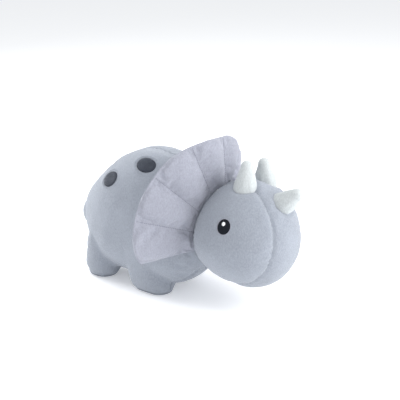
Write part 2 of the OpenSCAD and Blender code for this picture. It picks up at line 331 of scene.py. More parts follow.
def smooth_shape(obj, rounds, grow=0.52, still=None):
    """Evens out the surface, one step in and one step out, so it keeps its size."""
    points = points_of(obj)
    edges = edges_of(obj)
    count = np.bincount(edges.ravel(), minlength=len(points))[:, None]
    free = 1.0 if still is None else (1.0 - still)[:, None]
    for step in range(2 * rounds):
        total = np.zeros_like(points)
        for axis in range(3):
            total[:, axis] = np.bincount(edges[:, 0], points[edges[:, 1], axis], len(points))
            total[:, axis] += np.bincount(edges[:, 1], points[edges[:, 0], axis], len(points))
        share = 0.5 if step % 2 == 0 else -grow
        points = points + share * free * (total / np.maximum(count, 1) - points)
    move_points(obj, points)


def bumps(points, size, seed):
    """Smooth noise from -1 to 1 at each point, with bumps of about that size."""
    shift = Vector((seed * 17.3, seed * 5.1, seed * 9.7))
    return np.array([noise.noise(Vector(p) / size + shift) for p in points])


def dents(points, layers):
    """Unevenness of stuffed cloth: bumps of each (height, size, seed), one on another."""
    return sum(height * bumps(points, size, seed) for height, size, seed in layers)[:, None]


def unit(vectors):
    return vectors / np.linalg.norm(vectors, axis=-1, keepdims=True)


def ramp(value, low, high):
    share = np.clip((value - low) / (high - low), 0, 1)
    return share * share * (3 - 2 * share)


def spline(rows, steps):
    """Rows of numbers made smooth: a curve through all of them."""
    rows = np.asarray(rows, float)
    first = 2 * rows[0] - rows[1]
    last = 2 * rows[-1] - rows[-2]
    padded = np.vstack([first, rows, last])
    out = []
    for i in range(1, len(padded) - 2):
        a, b, c, d = padded[i - 1 : i + 3]
        for k in range(steps):
            u = k / steps
            out.append(
                0.5 * (2 * b + (c - a) * u + (2 * a - 5 * b + 4 * c - d) * u * u
                       + (3 * b - a - 3 * c + d) * u ** 3))
    out.append(rows[-1])
    return np.array(out)


def circle(count, shift=0.0):
    """Cosine and sine of even turns. The first is that share of a turn on."""
    angles = [2 * math.pi * (i + shift) / count for i in range(count)]
    return [(math.cos(angle), math.sin(angle)) for angle in angles]


def ring_faces(first, rows, cols, closed=False):
    """Faces between rings of points, and from the last ring to the first if closed."""
    faces = []
    for i in range(rows if closed else rows - 1):
        here, ahead = first + i * cols, first + (i + 1) % rows * cols
        for k in range(cols):
            following = (k + 1) % cols
            faces.append((here + k, here + following, ahead + following, ahead + k))
    return faces


def tube_faces(first, rows, cols):
    """Faces of a tube through rings of points, with flat ends."""
    last = first + (rows - 1) * cols
    ends = [tuple(range(first + cols - 1, first - 1, -1)), tuple(range(last, last + cols))]
    return ring_faces(first, rows, cols) + ends


def tube_mesh(name, rings):
    points = [p for ring in rings for p in ring]
    return closed_mesh(name, points, tube_faces(0, len(rings), len(rings[0])))


def surface_of(obj):
    """What rays and nearest points are measured against, in millimetres."""
    mesh = obj.data
    return BVHTree.FromPolygons(
        [tuple(p) for p in points_of(obj)], [tuple(f.vertices) for f in mesh.polygons])


def distance_to(surface, points):
    """Distance from each point to the surface, less than zero inside it."""
    out = np.empty(len(points))
    for i, p in enumerate(points):
        spot, normal, _, away = surface.find_nearest(Vector(p))
        out[i] = away if (Vector(p) - spot).dot(normal) > 0 else -away
    return out


# ---------- cloth ----------

def inflate(jobs, frames=20):
    """Swells each closed mesh as sewn cloth. A job is (object, held 0 to 1 at each vertex,
    pressure, how much longer the cloth is than its shape, furthest move in millimetres)."""
    scene = bpy.context.scene
    before = {}
    for obj, held, pressure, slack, _ in jobs:
        before[obj.name] = points_of(obj)
        group = obj.vertex_groups.new(name="held")
        for level in np.unique(np.round(held, 1)):
            if level > 0:
                chosen = np.where(np.round(held, 1) == level)[0]
                group.add(chosen.tolist(), float(level), "REPLACE")
        cloth = obj.modifiers.new("cloth", "CLOTH")
        settings = cloth.settings
        settings.vertex_group_mass = group.name
        settings.use_pressure = True
        settings.uniform_pressure_force = pressure
        settings.shrink_min = -slack
        settings.mass = 0.25
        settings.tension_stiffness = 12
        settings.compression_stiffness = 8
        settings.shear_stiffness = 4
        settings.bending_stiffness = 0.3
        settings.effector_weights.gravity = 0
        cloth.collision_settings.use_collision = False
        cloth.point_cache.frame_start = 1
        cloth.point_cache.frame_end = frames
    for number in range(1, frames + 1):
        scene.frame_set(number)
    for obj, _, _, _, furthest in jobs:
        bake_modifiers(obj)
        obj.vertex_groups.clear()
        start = before[obj.name]
        move = points_of(obj) - start
        size = np.linalg.norm(move, axis=1, keepdims=True)
        move_points(obj, start + move * furthest * np.tanh(size / furthest) / np.maximum(size, 1e-6))
    scene.frame_set(1)


# ---------- cutting into panels ----------

def cut_along(obj, planes):
    """Adds edges where each plane (point, normal) crosses the mesh."""
    work = bmesh.new()
    work.from_mesh(obj.data)
    for point, normal in planes:
        bmesh.ops.bisect_plane(
            work, geom=work.verts[:] + work.edges[:] + work.faces[:],
            plane_co=Vector(point) * MM, plane_no=Vector(normal), dist=1e-6)
    work.to_mesh(obj.data)
    work.free()


def split(obj, choose):
    """Objects cut from obj, by the name that choose gives for the middle of each face.
    A face with no name is dropped. Each panel becomes cloth of its own thickness."""
    named = {}
    for face in obj.data.polygons:
        name = choose(face.center / MM)
        if name:
            named.setdefault(name, []).append(face.index)
    normals = normals_of(obj)
    points = points_of(obj)
    out = {}
    for name, chosen in named.items():
        faces = [tuple(obj.data.polygons[i].vertices) for i in chosen]
        used = sorted({v for f in faces for v in f})
        place = {v: i for i, v in enumerate(used)}
        faces = [tuple(place[v] for v in f) for f in faces]
        out[name] = thick_panel(name, points[used], normals[used], faces)
    bpy.data.objects.remove(obj)
    return out


def thick_panel(name, points, normals, faces, thickness=CLOTH):
    """Cloth of a thickness under a sheet of faces, closed round its border."""
    count = len(points)
    ends = {}
    for face in faces:
        for a, b in zip(face, face[1:] + face[:1]):
            ends[(a, b)] = ends.get((a, b), 0) + 1
    border = [(a, b) for a, b in ends if (b, a) not in ends]
    inner = points - thickness * normals
    inside = [tuple(count + v for v in reversed(face)) for face in faces]
    rim = [(b, a, count + a, count + b) for a, b in border]
    return make_mesh(name, np.vstack([points, inner]), faces + inside + rim)


# ---------- torso ----------

def superellipse(half_width, low, high, count=72):
    """Section of the torso: rounded on top and fuller below."""
    middle = low + BELLY_HEIGHT * (high - low)
    out = []
    for c, s in circle(count):
        power = TOP_ROUNDNESS if s > 0 else BELLY_ROUNDNESS
        reach = high - middle if s > 0 else middle - low
        out.append((math.copysign(half_width * abs(c) ** (2 / power), c),
                    middle + math.copysign(reach * abs(s) ** (2 / power), s)))
    return out


def stadium(middle, radius, straight, z, count=48):
    """Ring of points round an oval with straight sides, at height z."""
    out = []
    for c, s in circle(count, 0.5):
        out.append((middle[0] + math.copysign(straight / 2, c) + radius * c, middle[1] + radius * s, z))
    return out


def leg(foot, side):
    """One leg, whose upper part runs on into the flank."""
    rings = []
    for z, growth, shift in spline(LEG_SECTIONS, 5):
        lean = LEG_LEAN * z * math.copysign(1, LEG_MIDDLE_X - FOOT_X[foot])
        middle = (FOOT_X[foot] + lean, side * (FOOT_Y + shift))
        rings.append(stadium(middle, SOLE_HALF_WIDTH + growth, SOLE_STRAIGHT[foot], z))
    return tube_mesh("leg", rings)


def torso_blank():
    """Torso and legs in one skin, evened out, with flat undersides to the feet."""
    rings = []
    for x, half_width, low, high in spline(TORSO_SECTIONS, 5):
        rings.append([(x, y, z) for y, z in superellipse(half_width, low, high)])
    parts = [tube_mesh("loft", rings)]
    for foot in FOOT_X:
        for side in SIDES.values():
            parts.append(leg(foot, side))
    torso = join("torso", parts)
    remesh(torso, 5)
    floor = 1 - ramp(points_of(torso)[:, 2], 4, 12)
    smooth_shape(torso, 9, still=floor)
    return torso


def plan_distance(points):
    """Distance in plan from each point to the edge of the belly panel."""
    best = np.full(len(points), 1e9)
    for (ax, ay), (bx, by) in zip(BELLY_PLAN, BELLY_PLAN[1:] + BELLY_PLAN[:1]):
        if ax == bx:
            continue
        a = np.array([ax, ay], float)
        along = np.array([bx - ax, by - ay], float)
        share = np.clip((points[:, :2] - a) @ along / (along @ along), 0, 1)
        away = points[:, :2] - a - share[:, None] * along
        best = np.minimum(best, np.linalg.norm(away, axis=1))
    return best


def belly_half_width(x):
    """Half width of the belly panel, which is nothing in front of it and behind it."""
    return np.interp(x, BELLY_X + [BELLY_X[-1] + 0.001], BELLY_HALF_WIDTH + [0])


def in_belly(point):
    return point[2] < BELLY_TOP and abs(point[1]) < belly_half_width(point[0])


def torso_seam_distance(points):
    """Distance from each point to the nearest seam of the torso."""
    low = points[:, 2] < BELLY_TOP
    back = np.abs(points[:, 1])
    back = np.where(low & (belly_half_width(points[:, 0]) > 0), 1e3, back)
    belly = np.where(low, plan_distance(points), 1e3)
    return np.minimum(back, belly)


def seam_groove(points, normals, distance, along, depth=2.2, width=2.8, pucker=0.6, seed=1):
    """Pulls the cloth in at a seam, with small puckers across it."""
    pull = depth * np.exp(-(distance / width) ** 2)
    phase = 2 * math.pi * along / 11 + 2.2 * bumps(points, 30, seed)
    ripple = pucker * np.sin(phase) * np.exp(-(distance / 8) ** 2)
    return points - normals * (pull + ripple)[:, None]


def shape_torso(torso, tail_surface):
    """Sews the torso's seams, folds it round the tail and sinks the spots' places."""
    points = points_of(torso)
    normals = normals_of(torso)
    distance = torso_seam_distance(points)
    along = points[:, 0] + 0.6 * points[:, 2]
    floor = ramp(points[:, 2], 3, 10)
    shaped = seam_groove(points, normals, distance, along)
    shaped = shaped + normals * dents(points, DENTS["torso"])
    near = np.linalg.norm(points - TAIL_ROOT, axis=1) < 90
    fold = np.zeros(len(points))
    fold[near] = TAIL_FOLD * np.exp(-(distance_to(tail_surface, points[near]) / 5) ** 2)
    shaped = shaped - normals * fold[:, None]
    ankle = np.exp(-((points[:, 2] - 5.5) / 2.2) ** 2)
    shaped = shaped - normals * (1.0 * ankle)[:, None]
    shaped = points + (shaped - points) * floor[:, None]
    shaped[:, 2] = np.maximum(shaped[:, 2], COVER_LOWEST)
    for middle, half_length, half_height in SPOTS.values():
        for side in SIDES.values():
            shaped = sink_spot(shaped, normals, middle, half_length, half_height, side)
    move_points(torso, shaped)


def spot_axes(middle, side):
    """Middle of a spot on one side, and the ways outward, forward and down the flank."""
    centre = np.array([middle[0], side * middle[1], middle[2]], float)
    lean = math.atan2(middle[1], middle[2] - 140)
    out = np.array([0, side * math.sin(lean), math.cos(lean)])
    forward = np.array([1.0, 0, 0])
    down = np.cross(out, forward) * side
    return centre, out, forward, down


def sink_spot(points, normals, middle, half_length, half_height, side):
    """Sinks the cloth under a spot and raises a soft lip round it."""
    centre, out, forward, down = spot_axes(middle, side)
    away = points - centre
    facing = (away @ out > -30) & (normals @ out > 0.2)
    reach = np.hypot(away @ forward / half_length, away @ down / half_height)
    edge = (reach - 1) * 0.5 * (half_length + half_height)
    depth = 1.3 * np.exp(-(edge / 2.2) ** 2) + 0.6 * (reach < 1) - 0.8 * np.exp(-((edge - 5) / 3) ** 2)
    return points - normals * (depth * facing)[:, None]


def torso_panels(torso):
    """Cuts the torso down the middle of its back and round the belly panel."""
    rear_x, wide_from, wide_to, front_x = BELLY_X
    half, front_half = BELLY_HALF_WIDTH[-2:]
    planes = [((0, 0, 0), (0, 1, 0))]
    for side in (-1, 1):
        planes.append(((0, side * half, 0), (0, 1, 0)))
        planes.append(((rear_x, 0, 0), (half, side * (wide_from - rear_x), 0)))
        planes.append(((wide_to, side * half, 0), (half - front_half, side * (front_x - wide_to), 0)))
    cut_along(torso, planes)

    def choose(middle):
        if in_belly(middle):
            return "belly_cover"
        return "torso_cover_right" if middle[1] < 0 else "torso_cover_left"

    return split(torso, choose)


# ---------- tail ----------

def ball_points(middle, radius, count=20):
    out = []
    for i in range(count + 1):
        rise = math.pi * (i / count - 0.5)
        for k in range(2 * count):
            turn = math.pi * k / count
            out.append(middle + radius * np.array(
                [math.cos(rise) * math.cos(turn), math.cos(rise) * math.sin(turn), math.sin(rise)]))
    return out


def hull_mesh(name, points):
    work = bmesh.new()
    for p in points:
        work.verts.new(Vector(p) * MM)
    bmesh.ops.remove_doubles(work, verts=work.verts, dist=1e-5)
    result = bmesh.ops.convex_hull(work, input=work.verts)
    bmesh.ops.delete(work, geom=list({*result["geom_unused"], *result["geom_interior"]}), context="VERTS")
    return object_from(name, work)


def tail_blank():
    upper = hull_mesh("upper", ball_points(TAIL_ROOT, TAIL_ROOT_R) + ball_points(TAIL_TIP, TAIL_TIP_R))
    lower = hull_mesh("lower", ball_points(TAIL_TIP, TAIL_TIP_R) + ball_points(TAIL_DROOP, TAIL_DROOP_R))
    tail = join("tail", [upper, lower])
    remesh(tail, 4)
    smooth_shape(tail, 8)
    return tail


def shape_tail(tail):
    points = points_of(tail)
    normals = normals_of(tail)
    along = np.degrees(np.arctan2(points[:, 2] - TAIL_ROOT[2], TAIL_ROOT[0] - points[:, 0]))
    shaped = seam_groove(points, normals, np.abs(points[:, 1]), along * 0.6, depth=1.4, seed=4)
    move_points(tail, shaped + normals * dents(points, DENTS["tail"]))


def tail_panels(tail):
    cut_along(tail, [((0, 0, 0), (0, 1, 0)), ((TAIL_FRONT, 0, 0), (1, 0, 0))])

    def choose(middle):
        if middle[0] > TAIL_FRONT:
            return None
        return "tail_skin_right" if middle[1] < 0 else "tail_skin_left"

    return split(tail, choose)


# ---------- head ----------

def head_swell(directions):
    """How far the stuffed head stands out of a ball, by direction from its middle."""
    swell = np.zeros(len(directions))
    for aim, height, sharpness in HEAD_SWELLS:
        aim = unit(np.array(aim, float))
        mirrored = aim * (1, -1, 1)
        cosine = np.maximum(directions @ aim, directions @ mirrored)
        swell = swell + height * np.exp(sharpness * (cosine - 1))
    return swell


def head_blank():
    """Ball made of six curved squares, so that its grid has no poles."""
    work = bmesh.new()
    bmesh.ops.create_cube(work, size=2)
    bmesh.ops.subdivide_edges(work, edges=work.edges[:], cuts=27, use_grid_fill=True)
    points = np.array([v.co for v in work.verts])
    spread = unit(np.tan(points * math.pi / 4))
    placed = HEAD + (HEAD_R - 2.0 + head_swell(spread))[:, None] * spread
    for vert, place in zip(work.verts, placed):
        vert.co = Vector(place) * MM
    return object_from("head", work)


def ring_turn(u):
    """Angle in degrees from the top of the head to a place u segments along the frill's ring."""
    return RING_PITCH * u + RING_SPREAD * u * u + RING_END_SPREAD * max(0, u - 3) ** 2


def ring_x(turn):
    """How far forward the frill's ring is, at an angle in degrees from the top of the head."""
    along = np.linspace(0, FRILL_SEGMENTS, 81)
    share = np.interp(np.abs(turn), [ring_turn(u) for u in along], along)
    return RING_TOP_X - RING_FALL * np.sin(np.radians(RING_FALL_PITCH * share))


def head_angles(points):
    """Angle round the head's long axis from the top, in degrees."""
    return np.degrees(np.arctan2(points[:, 1], points[:, 2] - HEAD[2]))


def beyond_face_seam(points):
    """How far each point is outside the panel down the face, less than zero inside it."""
    away = np.asarray(points) - HEAD
    return np.maximum(away @ FACE_SEAM_WAY, away @ (FACE_SEAM_WAY * (1, -1, 1))) - FACE_SEAM


def shape_head(head, horn_surfaces):
    """Sews the face seams, draws the cloth in with pleats at the frill and folds it at the horns."""
    points = points_of(head)
    normals = normals_of(head)
    turn = head_angles(points)
    seam = np.abs(beyond_face_seam(points))
    around = np.degrees(np.arctan2(points[:, 2] - HEAD[2], points[:, 0] - HEAD[0]))
    shaped = seam_groove(points, normals, seam, around * 1.8, depth=2.0, pucker=0.4, seed=6)
    shaped = shaped + normals * dents(points, DENTS["head"])
    ring = points[:, 0] - ring_x(turn)
    under = np.abs(turn) < ring_turn(FRILL_SEGMENTS)
    pleats = np.sin(2 * math.pi * turn / 7.5 + 1.5 * bumps(points, 40, 9))
    gather = 4.0 * np.exp(-(ring / 6) ** 2)
    gather = gather + 1.1 * pleats * np.exp(-((ring - 8) / 9) ** 2) * (ring > 0)
    shaped = shaped - normals * (gather * under)[:, None]
    for surface in horn_surfaces:
        away = distance_to(surface, points)
        fold = 2.2 * np.exp(-(np.minimum(away, 30) / 4) ** 2) - 1.0 * np.exp(-((away - 9) / 6) ** 2)
        shaped = shaped - normals * fold[:, None]
    move_points(head, shaped)


def head_panels(head):
    """Cuts the head into two cheeks and the panel down the face, and leaves off its back."""
    planes = []
    for way in (FACE_SEAM_WAY, FACE_SEAM_WAY * (1, -1, 1)):
        planes.append((HEAD + FACE_SEAM * way, way))
    planes.append(((HEAD_BACK, 0, 0), (1, 0, 0)))
    cut_along(head, planes)

    def choose(middle):
        if middle[0] < HEAD_BACK:
            return None
        if beyond_face_seam(np.array(middle)) < 0:
            return "face_cover"
        return "cheek_cover_right" if middle[1] < 0 else "cheek_cover_left"

    return split(head, choose)


# ---------- horns ----------

def horn(name):
    """Stuffed horn with a round end, gathered a little above its root, with one seam up it."""
    root, tip, root_r, tip_r, bow = HORNS[name]
    root, tip, bow = (np.array(v, float) for v in (root, tip, bow))
    axis = tip - root
    height = np.linalg.norm(axis)
    axis = axis / height
    side = unit(np.cross(axis, (0.0, 1.0, 0.0)))
    other = np.cross(axis, side)
    rows, tip_rows = 44, 8
    rings = []
    for i in range(rows):
        share = i / (rows - 1)
        lift = height * share
        radius = root_r + (tip_r - root_r) * share + HORN_SWELL * math.sin(math.pi * share)
        middle = root + axis * lift + bow * math.sin(math.pi * share)
        rings.append((middle, radius))
    for k in range(1, tip_rows + 1):
        angle = math.pi / 2 * k / tip_rows
        radius = max(tip_r * math.cos(angle), 0.15)
        rings.append((tip + axis * tip_r * math.sin(angle), radius))
    circles = []
    for middle, radius in rings:
        circles.append([middle + radius * (c * side + s * other) for c, s in circle(64)])
    obj = tube_mesh(name + "_cover", circles)
    points = points_of(obj)
    normals = normals_of(obj)
    lift = (points - root) @ axis
    turn = np.degrees(np.arctan2((points - root) @ other, (points - root) @ side))
    seed = 20 + len(name)
    folds = np.sin(2 * math.pi * turn / 40 + 3 * bumps(points, 25, seed))
    creases = 0.5 * folds * np.exp(-((lift - HORN_GATHER) / 9) ** 2)
    seam = 0.9 * np.exp(-(((turn + 180) % 360) / 4) ** 2)
    shape = 1.0 * bumps(points, 22, seed + 1) - creases - seam
    move_points(obj, points + normals * shape[:, None])
    return obj


# ---------- frill ----------

def ring_point(t):
    """Where the frill is sewn to the head's full shape, t segments from the top."""
    u = abs(t)
    angle = math.radians(ring_turn(u))
    x = RING_TOP_X - RING_FALL * math.sin(math.radians(RING_FALL_PITCH * u))
    out = np.array([0.0, math.copysign(math.sin(angle), t), math.cos(angle)])
    radius = HEAD_R
    for _ in range(4):
        aim = (x - HEAD[0]) * np.array([1.0, 0, 0]) + radius * out
        full = HEAD_R + head_swell(unit(aim)[None, :])[0]
        radius = math.sqrt(full ** 2 - (x - HEAD[0]) ** 2)
    return np.array([x, 0, HEAD[2]]) + (radius - RING_SINK) * out


def rim_point(t):
    """Outer edge of the frill, t segments from the top: fuller on the right, flopped on the left."""
    u = abs(t)
    angle = math.radians(sum(rate * u ** power for power, rate in enumerate(RIM_TURN, 1)))
    radius = RIM_R - RIM_SHORTER * (u / FRILL_SEGMENTS) ** 3
    radius += RIM_SHOULDER * math.sin(math.radians(90 * min(u, 2)))
    if t < 0:
        for middle, fuller in RIM_FULLER:
            radius += fuller * math.exp(-(((u - middle) / 0.8) ** 2))
    place = np.array([RIM_X + RIM_TOP_FORWARD * math.exp(-((u / 1.9) ** 2.2)),
                      math.copysign(radius * math.sin(angle), t), RIM_Z + radius * math.cos(angle)])
    if t > 0:
        past = max(0, u - FLOP_AT) / (FRILL_SEGMENTS - FLOP_AT)
        share = math.sin(math.radians(90 * min(1, u / FLOP_AT))) ** 2 * (1 - 0.7 * past)
        place = place + share * np.array(FRILL_FLOP)
    return place


def frill_grid(per_segment, s_values):
    """Middle surface of the frill and its forward normals, as grids over t and s."""
    count = 2 * FRILL_SEGMENTS * per_segment
    t_values = np.linspace(-FRILL_SEGMENTS, FRILL_SEGMENTS, count + 1)
    inner = np.array([ring_point(t) for t in t_values])
    outer = np.array([rim_point(t) for t in t_values])
    near_end = np.maximum(0, np.abs(t_values) - FRILL_SEGMENTS + CORNER_SPAN) / CORNER_SPAN
    corner = CORNER_CUT * near_end ** 2
    outer = outer + corner[:, None] * (inner - outer)
    s = np.asarray(s_values)[None, :, None]
    middle = inner[:, None, :] * (1 - s) + outer[:, None, :] * s
    across = np.gradient(middle, axis=0)
    out = np.gradient(middle, axis=1)
    return t_values, middle, unit(np.cross(across, out))


def frill_blank(per_segment=20, across=32):
    """Two layers of cloth over the middle surface, joined round the border."""
    s_values = np.linspace(0, 1, across + 1)
    t_values, middle, normal = frill_grid(per_segment, s_values)
    pocket = np.abs(np.sin(math.pi * t_values))[:, None] ** 0.5
    pocket = pocket * np.sin(math.pi * s_values)[None, :] ** 0.45
    half = (FRILL_SEAM_HALF + FRILL_POCKET * pocket)[:, :, None]
    half[:, -1] = FRILL_RIM_HALF
    rows, cols = middle.shape[:2]
    front = (middle + half * normal).reshape(-1, 3)
    back = (middle - half * normal).reshape(-1, 3)
    count = rows * cols
    faces = []
    for i in range(rows - 1):
        for j in range(cols - 1):
            a, b = i * cols + j, (i + 1) * cols + j
            faces.append((a, b, b + 1, a + 1))
            faces.append((count + a, count + a + 1, count + b + 1, count + b))
    border = list(range(cols)) + [i * cols + cols - 1 for i in range(1, rows)]
    border += [(rows - 1) * cols + j for j in range(cols - 2, -1, -1)]
    border += [i * cols for i in range(rows - 2, 0, -1)]
    for a, b in zip(border, border[1:] + border[:1]):
        faces.append((a, b, count + b, count + a))
    obj = closed_mesh("frill", np.vstack([front, back]), faces)
    line = np.abs(t_values - np.round(t_values))[:, None] < 1e-6
    edge = (s_values[None, :] < 1e-6) | (s_values[None, :] > 1 - 1e-6)
    held = np.where(line | edge, 1.0, 0.0).ravel()
    return obj, np.concatenate([held, held])


# ---------- patches laid on a surface ----------

def lay(surface, centre, out, forward, across, offsets, lift):
    """Points of a flat pattern (forward, across) dropped onto a surface and lifted off it."""
    placed = []
    for (a, b), rise in zip(offsets, lift):
        start = Vector(centre + forward * a + across * b + 60 * out)
        hit, normal, _, _ = surface.ray_cast(start, Vector(-out))
        if hit is None:
            hit, normal = Vector(centre + forward * a + across * b), Vector(out)
        placed.append(np.array(hit + rise * normal))
    return np.array(placed)


def oval(half_a, half_b, count):
    return [(half_a * c, half_b * s) for c, s in circle(count)]


def oval_patch(name, surface, axes, half_a, half_b, height, rings=14, cols=72, under=1.0):
    """Padded oval laid on a surface: domed on top, and closed under it."""
    offsets, lift = [(0, 0)], [height]
    for i in range(1, rings + 1):
        share = i / rings
        offsets += oval(half_a * share, half_b * share, cols)
        lift += [height * math.sqrt(1 - share ** 8)] * cols
    offsets += oval(half_a * 0.99, half_b * 0.99, cols) + [(0, 0)]
    lift += [-under] * (cols + 1)
    faces = [(0, 1 + (k + 1) % cols, 1 + k) for k in range(cols)]
    faces += ring_faces(1, rings + 1, cols)
    last = 1 + rings * cols
    faces += [(last + k, last + (k + 1) % cols, last + cols) for k in range(cols)]
    return closed_mesh(name, lay(surface, *axes, offsets, lift), faces)


def loop_tube(name, path, radius, sides=8):
    """Closed round cord along a closed path."""
    path = np.asarray(path)
    ahead = unit(np.roll(path, -1, axis=0) - np.roll(path, 1, axis=0))
    outward = path - path.mean(axis=0)
    outward = unit(outward - (outward * ahead).sum(axis=1, keepdims=True) * ahead)
    other = np.cross(ahead, outward)
    points = []
    for place, away, side in zip(path, outward, other):
        points += [place + radius * (c * away + s * side) for c, s in circle(sides)]
    return closed_mesh(name, points, ring_faces(0, len(path), sides, closed=True))


def along_path(values, run, at):
    """Value, at one run along a path, of what is given at each of its points."""
    return np.array([np.interp(at, run, values[:, axis]) for axis in range(3)])


# One stitch from end to end: place along it as a share of its length, width and rise in radii
STITCH_PROFILE = [
    (-0.5, 0.25, -0.5), (-0.36, 0.9, 0.1), (0, 1, 0.45), (0.36, 0.9, 0.1), (0.5, 0.25, -0.5)]


def stitches(name, path, normals, length=2.6, pitch=3.8, radius=0.38, closed=False):
    """Short rounded stitches one after another along a path on a surface."""
    path = np.asarray(path)
    if closed:
        path = np.vstack([path, path[:1]])
        normals = np.vstack([normals, normals[:1]])
    step = np.linalg.norm(np.diff(path, axis=0), axis=1)
    run = np.concatenate([[0], np.cumsum(step)])
    number = max(1, int(run[-1] / pitch))
    points, faces = [], []
    for n in range(number):
        middle = (n + 0.5) * run[-1] / number
        first = len(points)
        for share, width, rise in STITCH_PROFILE:
            at = middle + share * length
            place = along_path(path, run, at)
            ahead = along_path(path, run, at + 0.5) - place
            ahead = ahead + (place - along_path(path, run, at - 0.5))
            out = along_path(normals, run, at)
            across = unit(np.cross(unit(ahead), out))
            for c, s in circle(6):
                points.append(place + radius * (rise * out + width * (c * across + s * out)))
        faces += tube_faces(first, len(STITCH_PROFILE), 6)
    return closed_mesh(name, points, faces)


# ---------- materials ----------

def node_material(name):
    material = bpy.data.materials.new(name)
    material.use_nodes = True
    nodes, links = material.node_tree.nodes, material.node_tree.links
    return material, nodes, links, nodes["Principled BSDF"]


def set_inputs(node, values):
    for name, value in values.items():
        node.inputs[name].default_value = value


def add_noise(nodes, links, coordinates, scale, detail=3.0, roughness=0.55, stretch=None):
    texture = nodes.new("ShaderNodeTexNoise")
    set_inputs(texture, {"Scale": scale, "Detail": detail, "Roughness": roughness})
    if stretch:
        mapping = nodes.new("ShaderNodeMapping")
        set_inputs(mapping, {"Scale": stretch})
        links.new(coordinates, mapping.inputs["Vector"])
        coordinates = mapping.outputs["Vector"]
    links.new(coordinates, texture.inputs["Vector"])
    return texture.outputs["Fac"]


def add_mix(nodes, links, factor, first, second):
    """Mixes two colours, or two nodes' outputs, by a number or another node's output."""
    mix = nodes.new("ShaderNodeMix")
    mix.data_type = "RGBA"
    for socket, value in ((mix.inputs["Factor"], factor), (mix.inputs[6], first), (mix.inputs[7], second)):
        if isinstance(value, bpy.types.NodeSocket):
            links.new(value, socket)
        else:
            socket.default_value = (*value, 1) if isinstance(value, tuple) else value
    return mix.outputs[2]


def mix_colours(nodes, links, factor, first, second, low=0.3, high=0.7):
    spread = nodes.new("ShaderNodeMapRange")
    set_inputs(spread, {"From Min": low, "From Max": high})
    links.new(factor, spread.inputs["Value"])
    return add_mix(nodes, links, spread.outputs["Result"], first, second)


def add_bump(nodes, links, shader, height, strength, distance):
    bump = nodes.new("ShaderNodeBump")
    set_inputs(bump, {"Strength": strength, "Distance": distance})
    links.new(height, bump.inputs["Height"])
    links.new(bump.outputs["Normal"], shader.inputs["Normal"])


def plush(name, dark, light, sheen=0.5, nap=1.0, mottle=22.0):
    """Short pile cloth: soft patches where the pile lies differently, fine grain and fuzz."""
    material, nodes, links, shader = node_material(name)
    place = nodes.new("ShaderNodeTexCoord").outputs["Object"]
    patches = add_noise(nodes, links, place, mottle, detail=4.0, roughness=0.6)
    grain = add_noise(nodes, links, place, 420.0, detail=3.0, roughness=0.7, stretch=(1.0, 1.0, 0.55))
    fuzz = add_noise(nodes, links, place, 1500.0, detail=2.0, roughness=0.6)
    middle = tuple((a + b) / 2 for a, b in zip(dark, light))
    broad = mix_colours(nodes, links, patches, dark, light, 0.25, 0.75)
    deep, bright = (tuple(c * share for c in middle) for share in (0.74, 1.22))
    fine = mix_colours(nodes, links, grain, deep, bright)
    links.new(add_mix(nodes, links, 0.5, broad, fine), shader.inputs["Base Color"])
    height = nodes.new("ShaderNodeMath")
    height.operation = "ADD"
    links.new(grain, height.inputs[0])
    links.new(fuzz, height.inputs[1])
    add_bump(nodes, links, shader, height.outputs["Value"], 0.6 * nap, 0.0012)
    set_inputs(shader, {
        "Roughness": 0.92, "Specular IOR Level": 0.15,
        "Sheen Weight": sheen, "Sheen Roughness": 0.45, "Sheen Tint": (0.93, 0.96, 1.0, 1)})
    return material


def thread(name, dark, light, gloss=0.35, line=2600.0):
    """Embroidery thread: fine strands side by side, with a soft shine."""
    material, nodes, links, shader = node_material(name)
    place = nodes.new("ShaderNodeTexCoord").outputs["Object"]
    strands = add_noise(nodes, links, place, line, detail=1.0, roughness=0.4, stretch=(0.12, 0.6, 1.0))
    colour = mix_colours(nodes, links, strands, dark, light)
    links.new(colour, shader.inputs["Base Color"])
    add_bump(nodes, links, shader, strands, 0.5, 0.0003)
    set_inputs(shader, {"Roughness": 1 - gloss, "Specular IOR Level": 0.2})
    return material


def dress(obj, material, body=None, replaced=()):
    """Material, shading, slot, body and CAD nodes of a finished piece."""
    obj.data.materials.clear()
    obj.data.materials.append(material)
    obj.data.polygons.foreach_set("use_smooth", [True] * len(obj.data.polygons))
    obj.data.update()
    if body:
        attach(obj, body)
    if replaced:
        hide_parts(*replaced)


GREY = plush("grey_plush", (0.290, 0.314, 0.362), (0.362, 0.390, 0.446), sheen=0.45)
SOLE = plush("sole_plush", (0.300, 0.325, 0.375), (0.350, 0.380, 0.430), sheen=0.3)
LILAC = plush("lilac_plush", (0.327, 0.336, 0.394), (0.394, 0.404, 0.470), sheen=0.35)
SPOT = plush("spot_plush", (0.024, 0.028, 0.040), (0.072, 0.081, 0.103), sheen=0.2, mottle=60.0)
WHITE = plush("white_plush", (0.535, 0.566, 0.573), (0.592, 0.622, 0.629), sheen=0.1, nap=0.6)
EYE_THREAD = thread("eye_thread", (0.003, 0.005, 0.009), (0.010, 0.013, 0.020), gloss=0.25)
WHITE_THREAD = thread("white_thread", (0.82, 0.84, 0.85), (0.92, 0.93, 0.94))
# Quilting thread of the frill: a real thread, but coloured much darker than the thread itself, as painted
# shade of the seam grooves it lies in
SEAM_THREAD_AND_SHADE = thread("sewing_thread", (0.11, 0.115, 0.15), (0.17, 0.18, 0.22))


# ---------- cloth simulation ----------

def torso_held(points):
    """1 where a seam, the floor or the neck holds the cloth, down to 0 where it is free."""
    held = 1 - ramp(torso_seam_distance(points), *SEAM_HOLD)
    held = np.maximum(held, 1 - ramp(points[:, 2], *FLOOR_HOLD))
    return np.maximum(held, ramp(points[:, 0], *NECK_HOLD))


def tail_held(points):
    held = 1 - ramp(np.abs(points[:, 1]), *SEAM_HOLD)
    return np.maximum(held, ramp(points[:, 0], *TAIL_HOLD))


